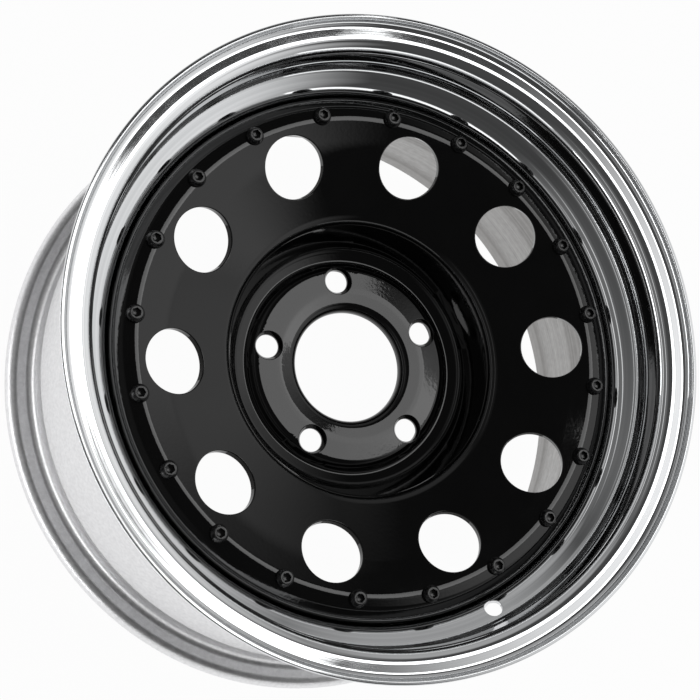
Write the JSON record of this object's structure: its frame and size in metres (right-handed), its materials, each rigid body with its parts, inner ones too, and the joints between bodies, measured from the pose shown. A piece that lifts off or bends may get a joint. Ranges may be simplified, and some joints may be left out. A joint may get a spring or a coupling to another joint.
{
  "type": "steel wheel",
  "caption": "Steel off-road wheel: chromed rim with a drop well, black pressed disc with round vents, cone-seated lug holes, a hub bore and a ring of socket-head edge bolts.",
  "frame": {"origin": "centre of the lug circle on the hub mounting face, which is also the middle of the wheel's box", "axes": "+Z along the axle, outboard, so the wheel lies on its inboard flange with its face up; +Y through the centre of one lug hole"},
  "size_m": [0.4163, 0.4164, 0.1966],
  "materials": {
    "chrome_rim": "mirror chrome in front, satin plated steel behind",
    "black_paint": "gloss black paint with slight orange peel",
    "black_bolts": "gloss black paint",
    "weld_steel": "dull weld bead"
  },
  "bodies": {
    "root": {"rim": "chrome_rim", "wheel_disc": "black_paint", "edge_bolts": "black_bolts", "weld_seam_1": "weld_steel", "weld_seam_2": "weld_steel", "weld_seam_3": "weld_steel", "weld_seam_4": "weld_steel"}
  },
  "joints": []
}
